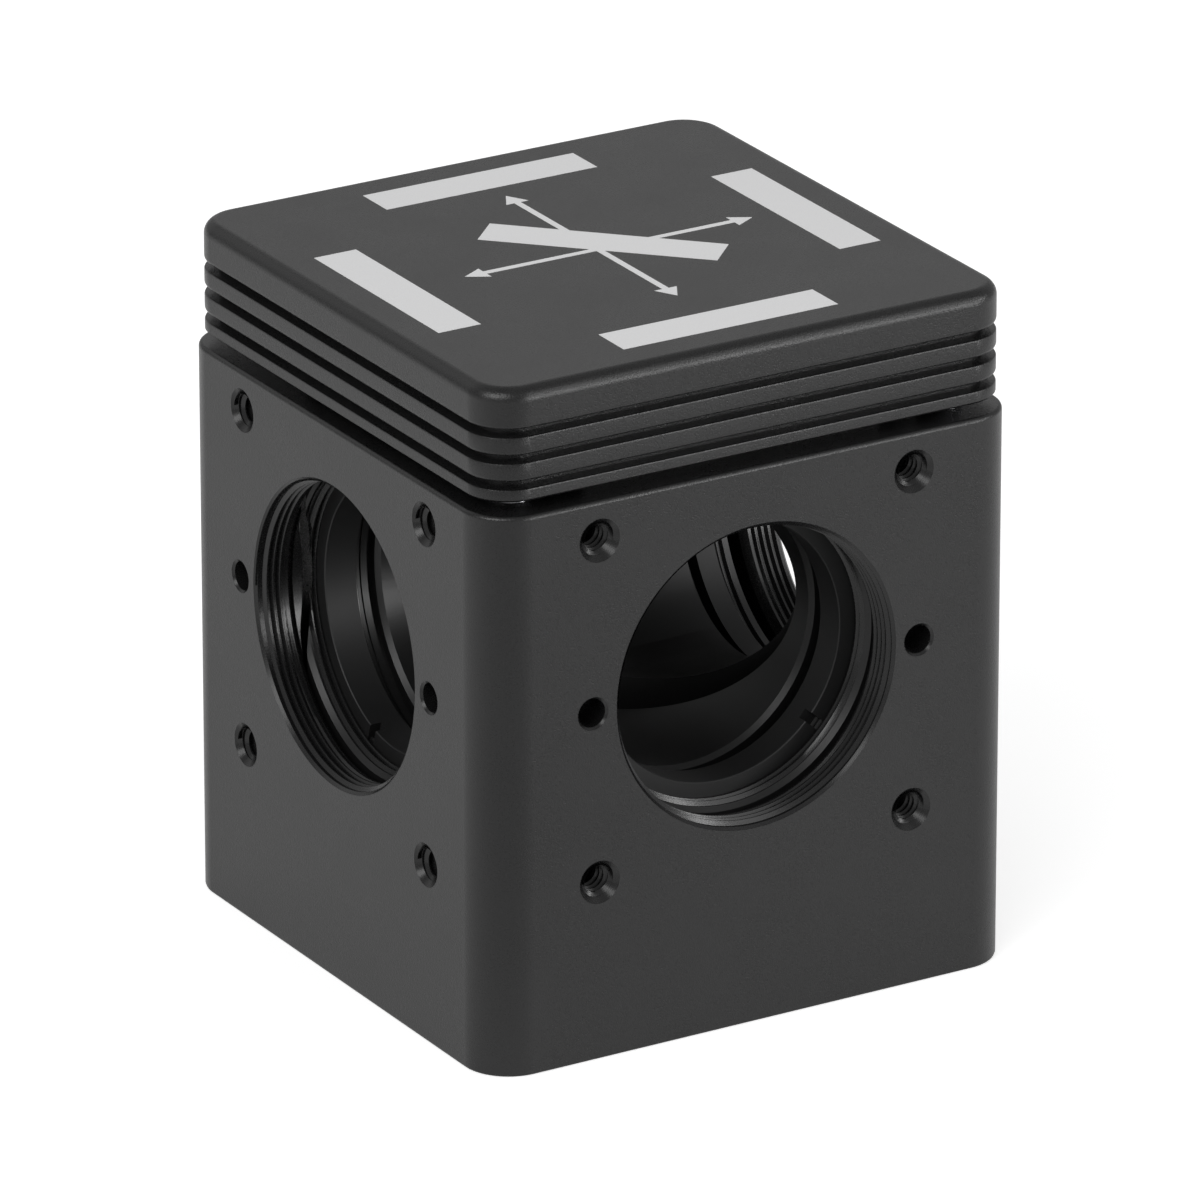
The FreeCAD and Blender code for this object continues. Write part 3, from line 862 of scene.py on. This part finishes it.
class CAGE_OT_filter_block(bpy.types.Operator):
    """Model the filter block: stepped bores along both axes, the 45 degree slot and the screw holes"""

    bl_idname = "cage.filter_block"
    bl_label = "Filter block"

    def execute(self, context):
        sizes = context.scene.cage_block
        legs = {}
        for signs in corner_signs():
            side_x = BLOCK_HIGH.x if signs[0] > 0 else -BLOCK_LOW.x
            side_y = BLOCK_HIGH.y if signs[1] > 0 else -BLOCK_LOW.y
            gap = sizes.key_gap if signs == KEY_CORNER else sizes.post_gap
            legs[signs] = side_x + side_y - (flat_distance(signs) - gap) * math.sqrt(2)
        block = post_cutter("filter_block_body", BLOCK_LOW, BLOCK_HIGH, legs, sizes.edge_r)
        for degrees in (0, 270):
            combine(block, turn_about_axis(self.exit_tool(sizes), degrees))
            combine(block, self.up_to_slot(turn_about_axis(self.filter_tool(sizes), degrees), sizes))
        combine(block, self.slot_tool(sizes))
        combine(block, self.screw_tool(sizes))
        finish_mesh(block)
        dress(block, "insert", finish_named("Block anodising"), "anodised_block", "filter_block")
        return {"FINISHED"}

    def filter_tool(self, sizes):
        """The wide bore at the front, stepped for its thread and for a filter's seat."""
        front = -BLOCK_LOW.y
        out = 0.5 * MM
        clear = PORT_R - sizes.seat_step
        pilot = PORT_R - sizes.pilot_step
        relief = PORT_R + sizes.relief_step
        thread_end = sizes.thread_depth - HALF
        pilot_end = thread_end + sizes.pilot
        seat = pilot_end + sizes.relief
        stations = [(-front - out, PORT_R + sizes.mouth + out), (-front + sizes.mouth, PORT_R),
                    (thread_end, PORT_R), (thread_end, pilot), (pilot_end, pilot), (pilot_end, relief),
                    (seat, relief), (seat, clear + sizes.seat_chamfer), (seat + sizes.seat_chamfer, clear),
                    (BLOCK_HIGH.y, clear)]
        return turned_solid("filter_bore", BORE_AXIS, -FRONT, stations, 160)

    def up_to_slot(self, tool, sizes):
        """Leaves the part of a tool that lies before the middle of the 45 degree slot."""
        across = Vector((1, 1, 0)).normalized()
        edit(tool)
        bpy.ops.mesh.select_all(action="SELECT")
        bpy.ops.mesh.bisect(plane_co=across * (sizes.slot_width / 2), plane_no=across, use_fill=True,
                            clear_outer=True)
        leave()
        return tool

    def exit_tool(self, sizes):
        """The narrow bore right through, with the thread and relief groove at the back."""
        back = BLOCK_HIGH.y
        relief = PORT_R + sizes.relief_step
        seat = back - sizes.exit_thread
        shoulder = seat - sizes.exit_relief
        stations = [(BLOCK_LOW.y - MM, sizes.exit_r), (shoulder, sizes.exit_r), (shoulder, relief),
                    (seat, relief), (seat, PORT_R), (back + MM, PORT_R)]
        return turned_solid("exit_bore", BORE_AXIS, -FRONT, stations, 160)

    def slot_tool(self, sizes):
        reach = sizes.slot_length / 2
        slot = box_solid("slot", Vector((-reach, 0, BLOCK_LOW.z - MM)),
                         Vector((reach, sizes.slot_width, AXIS.z + sizes.slot_top)))
        edit(slot)
        bevel(slot, upright, sizes.slot_width * 0.495, 8)
        leave()
        return turn_about_axis(slot, -45)

    def screw_tool(self, sizes):
        """The counterbores and holes of the cover screws, and the setscrew holes in the key corner."""
        tools = []
        land = BLOCK_HIGH.z - sizes.land
        for centre in screw_centres():
            stations = [(BLOCK_LOW.z - MM, sizes.bore_r), (land, sizes.bore_r), (land, sizes.through_r),
                        (BLOCK_HIGH.z + MM, sizes.through_r)]
            tools.append(turned_solid("screw_bore", centre, UP, stations, 32))
        inward = Vector((1, -1, 0)).normalized()
        across = Vector((1, 1, 0)).normalized()
        flat = flat_distance(KEY_CORNER) - sizes.key_gap
        for level in (-sizes.set_reach, sizes.set_reach):
            start = AXIS - inward * flat + across * (sizes.slot_width / 2) + UP * level
            end = flat - sizes.slot_length / 2 + sizes.slot_width / 2
            stations = [(-0.5 * MM, sizes.set_r), (end, sizes.set_r)]
            tools.append(turned_solid("set_bore", start, inward, stations, 32))
        return join("screw_tool", *tools)


class CAGE_OT_rings(bpy.types.Operator):
    """Model the four retaining rings, each with two spanner slots"""

    bl_idname = "cage.rings"
    bl_label = "Retaining rings"

    def execute(self, context):
        sizes = context.scene.cage_block
        turns = {"front": -42.0, "right": 20.0, "back": -65.0, "left": -108.0}
        for name, degrees in SIDES.items():
            low, high = (Vector(corner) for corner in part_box("retaining_ring_" + name))
            middle = (low + high) / 2
            thick = min(high.x - low.x, high.y - low.y)
            face = max(abs(middle.x), abs(middle.y)) + thick / 2
            outer = (high.z - low.z) / 2
            inner = outer - sizes.ring_width
            chamfer = sizes.ring_break
            start = BORE_AXIS + FRONT * face
            stations = [(0, outer - chamfer), (chamfer, outer), (thick - chamfer, outer),
                        (thick, outer - chamfer)]
            ring = turned_solid("ring_" + name, start, -FRONT, stations, 128)
            out = 0.5 * MM
            stations = [(-out, inner + chamfer + out), (chamfer, inner), (thick + out, inner)]
            combine(ring, turned_solid("bore", start, -FRONT, stations, 128))
            slot = box_solid("slot", Vector((-outer - out, -face - out, -sizes.ring_slot / 2)),
                             Vector((outer + out, -face + sizes.ring_slot_depth, sizes.ring_slot / 2)))
            turned = Matrix.Rotation(math.radians(-turns[name]), 4, "Y")
            slot.data.transform(Matrix.Translation(BORE_AXIS) @ turned)
            combine(ring, slot)
            turn_about_axis(ring, degrees)
            finish_mesh(ring)
            dress(ring, "insert", finish_named("Turned anodising"), "anodised_ring", "retaining_ring_" + name)
        return {"FINISHED"}


class CAGE_OT_threads(bpy.types.Operator):
    """Model the threads in the ports, the filter block's bores and the tapped holes"""

    bl_idname = "cage.threads"
    bl_label = "Threads"

    def execute(self, context):
        housing = context.scene.cage_housing
        block = context.scene.cage_block
        tip = 0.05 * MM
        port = thread_ridge("port_thread", AXIS + FRONT * HALF, -FRONT, PORT_R, tip,
                            housing.wall - housing.port_back_chamfer, housing.port_chamfer, 96)
        self.around(port, "port_thread_", "base", "Bored anodising", "anodised_base")
        hole = thread_ridge("cage_thread", AXIS + FRONT * HALF, -FRONT, CAGE_R, tip, housing.wall - tip,
                            housing.cage_chamfer, 28)
        holes = []
        for x in (-CAGE_REACH, CAGE_REACH):
            for z in (-CAGE_REACH, CAGE_REACH):
                copy = copy_of(hole, "cage_thread_copy")
                copy.data.transform(Matrix.Translation((x, 0, z)))
                holes.append(copy)
        bpy.data.objects.remove(hole)
        self.around(join("cage_thread", *holes), "cage_threads_", "base", "Bored anodising", "anodised_base")
        front = -BLOCK_LOW.y
        filter_end = front - HALF + block.thread_depth
        ridge = thread_ridge("filter_thread", BORE_AXIS + FRONT * front, -FRONT, PORT_R, tip, filter_end,
                             block.mouth, 96)
        self.around(ridge, "filter_thread_", "insert", "Bored anodising", "anodised_block", ("front", "left"))
        for name in ("front", "left"):
            self.within_corners(bpy.data.objects["filter_thread_" + name], block)
        ridge = thread_ridge("exit_thread", BORE_AXIS + FRONT * BLOCK_HIGH.y, -FRONT, PORT_R, tip,
                             block.exit_thread, 0, 96)
        self.around(ridge, "exit_thread_", "insert", "Bored anodising", "anodised_block", ("right", "back"))
        post = thread_ridge("post_thread", Vector((0, 0, BASE_LOW.z)), UP, POST_R, tip,
                            housing.post_depth - 0.5 * MM, housing.post_chamfer, 40,
                            context.scene.cage_thread.post_pitch)
        dress(post, "base", finish_named("Bored anodising"), "anodised_base")
        return {"FINISHED"}

    def within_corners(self, thread, sizes):
        """Cuts a thread off where the filter block's cut corners break into its bore."""
        for signs in corner_signs():
            outward = Vector((signs[0], signs[1], 0)).normalized()
            gap = sizes.key_gap if signs == KEY_CORNER else sizes.post_gap
            edit(thread)
            bpy.ops.mesh.select_all(action="SELECT")
            bpy.ops.mesh.bisect(plane_co=outward * (flat_distance(signs) - gap), plane_no=outward,
                                use_fill=True, clear_outer=True)
            leave()

    def around(self, piece, prefix, body, finish, slot, names=tuple(SIDES)):
        """Puts a copy of the front side's piece on each named side."""
        for name in names:
            copy = turn_about_axis(copy_of(piece, prefix + name), SIDES[name])
            dress(copy, body, finish_named(finish), slot)
        bpy.data.objects.remove(piece)


class CAGE_OT_marking(bpy.types.Operator):
    """Lay the pale light-path diagram on the cover: a bar at each side, a 45 degree bar and four arrows"""

    bl_idname = "cage.marking"
    bl_label = "Light-path marking"

    def execute(self, context):
        sizes = context.scene.cage_marking
        bars = [self.stroke(0, -sizes.bar_reach, sizes.bar_length, sizes.bar_width, degrees)
                for degrees in SIDES.values()]
        diagram = self.stroke(0, sizes.plate_offset, sizes.bar_length, sizes.bar_width, -45)
        plate_back = (sizes.plate_offset + sizes.bar_width / 2) * math.sqrt(2)
        for name, tip in (("front", sizes.near_tip), ("left", sizes.near_tip), ("right", sizes.far_tip),
                          ("back", sizes.far_tip)):
            near = name in ("front", "left")
            start = -sizes.line / 2 if near else plate_back - sizes.line
            neck = tip - sizes.head_length
            span = neck - start + sizes.line / 4
            shaft = self.stroke(0, -(start + neck) / 2, sizes.line, span, SIDES[name])
            combine(diagram, shaft, "UNION")
            combine(diagram, self.head(tip, sizes, SIDES[name]), "UNION")
        marking = join("light_path_marking", diagram, *bars)
        finish_mesh(marking)
        dress(marking, "insert", finish_named("Light marking"))
        return {"FINISHED"}

    def stroke(self, x, y, width, height, degrees):
        """A flat bar, turned about the middle of the cover."""
        thick = bpy.context.scene.cage_marking.thickness
        corner = Vector((width / 2, height / 2, thick))
        middle = Vector((x, y, COVER_HIGH.z))
        return turn_about_axis(box_solid("stroke", middle - corner, middle + corner), degrees)

    def head(self, tip, sizes, degrees):
        """An arrow head that points out at the front, turned to its side."""
        radius = sizes.head_length * 2 / 3
        bpy.ops.mesh.primitive_circle_add(vertices=3, radius=radius, fill_type="NGON",
                                          location=(0, -tip + radius, COVER_HIGH.z), rotation=(0, 0, math.pi))
        obj = name_new("head")
        bpy.ops.object.transform_apply(location=True, rotation=True, scale=True)
        flat = sizes.head_width / (radius * math.sqrt(3))
        obj.data.transform(Matrix.Diagonal((flat, 1, 1, 1)))
        bpy.ops.object.modifier_add(type="SOLIDIFY")
        solid = obj.modifiers[-1]
        solid.thickness = sizes.thickness * 2
        solid.offset = 0
        bpy.ops.object.modifier_apply(modifier=solid.name)
        return turn_about_axis(obj, degrees)


class CAGE_OT_kinematics(bpy.types.Operator):
    """Give the balls, magnets, vee seats and screws their finishes"""

    bl_idname = "cage.kinematics"
    bl_label = "Balls, magnets and screws"

    def execute(self, context):
        looks = {"ball_": "Polished steel", "magnet_": "Nickel plate", "vee_seat_": "Ground steel",
                 "cover_screws": "Black oxide", "slot_setscrews": "Black oxide"}
        for name, node in frame["nodes"].items():
            for prefix, finish in looks.items():
                if name.startswith(prefix):
                    node.data.materials.clear()
                    node.data.materials.append(finish_named(finish))
        return {"FINISHED"}


# Each lamp's turn from the front towards the left and its height, in degrees, and its width in metres
LAMPS = {
    "left": (74, 36, 0.55),
    "left_high": (48, 40, 0.50),
    "right": (-29, 4, 0.36),
    "right_fill": (-38, 28, 0.60),
    "right_side": (-54, 20, 0.20),
    "back_left": (156, 34, 0.75),
    "back_right": (211, 22, 0.60),
}


class CAGE_OT_stage(bpy.types.Operator):
    """Set the pale floor, the soft lamps and the camera"""

    bl_idname = "cage.stage"
    bl_label = "Stage"

    def execute(self, context):
        stage = context.scene.cage_stage
        self.floor(stage)
        self.sky(context, stage)
        for name, (turn, height, size) in LAMPS.items():
            self.lamp(name, turn, height, size, getattr(stage, name))
        self.camera(context, stage)
        context.scene.view_settings.view_transform = "Standard"
        return {"FINISHED"}

    def floor(self, stage):
        bpy.ops.mesh.primitive_plane_add(size=4, location=(0, 0, BASE_LOW.z))
        obj = name_new("floor")
        bpy.ops.object.transform_apply(location=True, rotation=True, scale=True)
        obj.data.materials.append(floor_paint("Floor", stage.floor, stage.floor_glow, stage.floor_sheen))

    def sky(self, context, stage):
        world = bpy.data.worlds.new("sky")
        world.use_nodes = True
        context.scene.world = world
        nodes = world.node_tree.nodes
        links = world.node_tree.links
        even = nodes["Background"]
        even.inputs["Color"].default_value = (1.0, 1.0, 1.0, 1.0)
        even.inputs["Strength"].default_value = stage.sky
        white = nodes.new("ShaderNodeBackground")
        white.inputs["Color"].default_value = (1.0, 1.0, 1.0, 1.0)
        rays = nodes.new("ShaderNodeLightPath")
        mix = nodes.new("ShaderNodeMixShader")
        links.new(rays.outputs["Is Camera Ray"], mix.inputs["Fac"])
        links.new(even.outputs[0], mix.inputs[1])
        links.new(white.outputs[0], mix.inputs[2])
        links.new(mix.outputs[0], nodes["World Output"].inputs["Surface"])

    def lamp(self, name, turn, height, size, brightness):
        """A round soft lamp, one metre from the cube and aimed at it."""
        turn, height = math.radians(turn), math.radians(height)
        flat = FRONT * math.cos(turn) - Vector((math.sin(turn), 0, 0))
        towards = flat * math.cos(height) + UP * math.sin(height)
        data = bpy.data.lights.new(name, "AREA")
        data.shape = "DISK"
        data.size = size
        data.energy = brightness * math.pi * math.pi * size * size / 4
        obj = bpy.data.objects.new(name, data)
        obj.location = Vector((0, 0, 0.03)) + towards
        obj.rotation_euler = towards.to_track_quat("Z", "Y").to_euler()
        obj.visible_camera = False
        bpy.context.scene.collection.objects.link(obj)

    def camera(self, context, stage):
        """The camera fitted to the photograph, aimed beside the port axis as the photograph is."""
        flat = FRONT * math.cos(stage.turn) + Vector((math.sin(stage.turn), 0, 0))
        back = flat * math.cos(stage.tilt) + UP * math.sin(stage.tilt)
        data = bpy.data.cameras.new("camera")
        data.sensor_width = 36.0
        data.lens = stage.lens
        data.clip_start = 0.05
        data.clip_end = 20.0
        obj = bpy.data.objects.new("camera", data)
        right = (-back).cross(UP).normalized()
        above = right.cross(-back)
        distance = 1062.47 * MM
        aside = 0.1837 * MM
        below = -1.841 * MM
        obj.location = AXIS + back * distance + right * aside + above * below
        obj.rotation_euler = back.to_track_quat("Z", "Y").to_euler()
        context.scene.collection.objects.link(obj)
        context.scene.camera = obj


class CAGE_PT_panel(bpy.types.Panel):
    """The cube's pieces, in the order in which they are made"""

    bl_idname = "CAGE_PT_panel"
    bl_label = "Cage cube"
    bl_space_type = "VIEW_3D"
    bl_region_type = "UI"
    bl_category = "Cage cube"

    def draw(self, context):
        column = self.layout.column(align=True)
        for operator in OPERATORS:
            column.operator(operator.bl_idname)


GROUPS = {
    "cage_housing": CageHousingSizes,
    "cage_cover": CageCoverSizes,
    "cage_block": CageBlockSizes,
    "cage_thread": CageThreadSizes,
    "cage_marking": CageMarkingSizes,
    "cage_finish": CageFinish,
    "cage_stage": CageStage,
}
OPERATORS = (CAGE_OT_housing, CAGE_OT_cover, CAGE_OT_filter_block, CAGE_OT_rings, CAGE_OT_threads,
             CAGE_OT_marking, CAGE_OT_kinematics, CAGE_OT_stage)


def register():
    for name, group in GROUPS.items():
        bpy.utils.register_class(group)
        setattr(bpy.types.Scene, name, bpy.props.PointerProperty(type=group))
    for operator in OPERATORS:
        bpy.utils.register_class(operator)
    bpy.utils.register_class(CAGE_PT_panel)


def unregister():
    bpy.utils.unregister_class(CAGE_PT_panel)
    for operator in reversed(OPERATORS):
        bpy.utils.unregister_class(operator)
    for name, group in GROUPS.items():
        delattr(bpy.types.Scene, name)
        bpy.utils.unregister_class(group)


def main():
    register()
    for operator in OPERATORS:
        category, name = operator.bl_idname.split(".")
        getattr(getattr(bpy.ops, category), name)()


if __name__ == "__main__":
    main()
